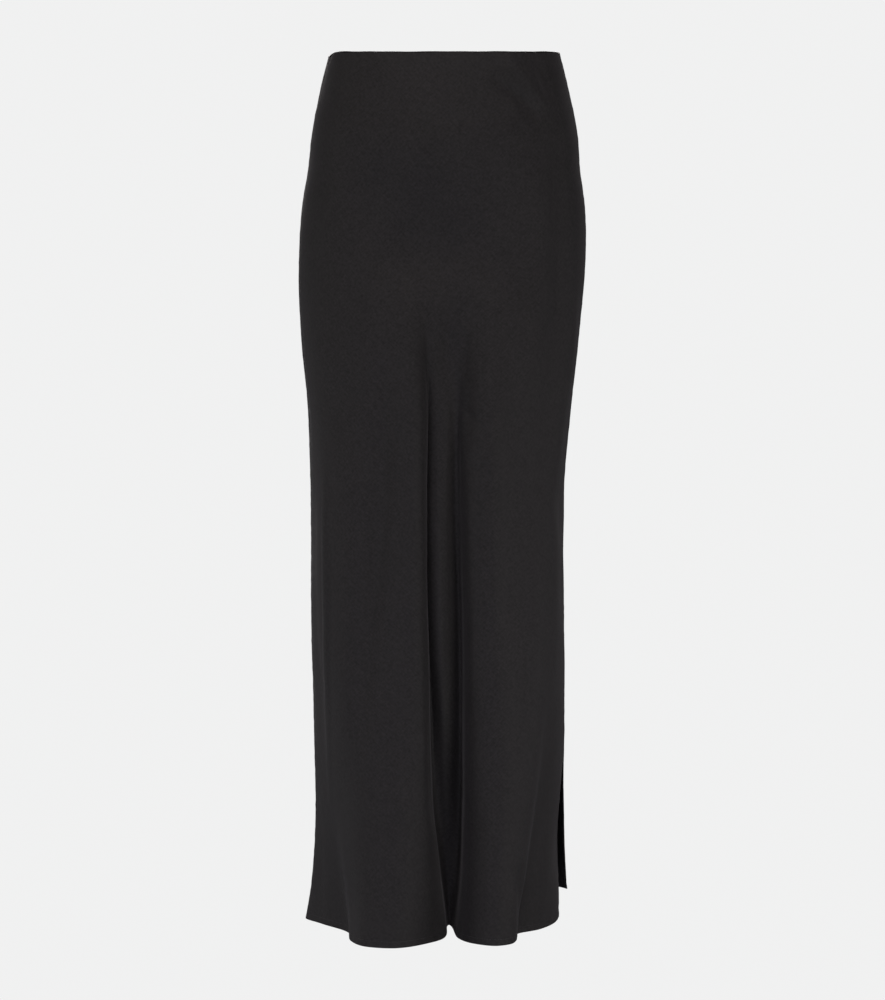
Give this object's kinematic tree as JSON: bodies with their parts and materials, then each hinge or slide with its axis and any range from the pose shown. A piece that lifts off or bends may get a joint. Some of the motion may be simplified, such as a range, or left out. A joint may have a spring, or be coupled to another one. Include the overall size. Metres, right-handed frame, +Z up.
{
  "type": "maxi skirt",
  "caption": "Bias-cut maxi slip skirt, hanging filled out as when worn: smooth at the waist and hips, deep soft folds towards the hem, a slit on the wearer's left",
  "frame": {"origin": "the middle of the waist edge, where the wearer holds the skirt up", "axes": "+Z up, the front faces -Y, the wearer's left and the side slit are at +X"},
  "size_m": [0.3235, 0.3441, 0.9913],
  "materials": {
    "bias_cloth": "near-black satin-backed crepe with a fine slubbed weave set at 45 degrees, low soft sheen",
    "turned_edge": "the same cloth, turned in and stitched, matte"
  },
  "bodies": {
    "root": {"front_panel": "bias_cloth", "back_panel": "bias_cloth", "front_hem": "turned_edge", "back_hem": "turned_edge", "front_slit_hem": "turned_edge", "back_slit_hem": "turned_edge"}
  },
  "joints": []
}
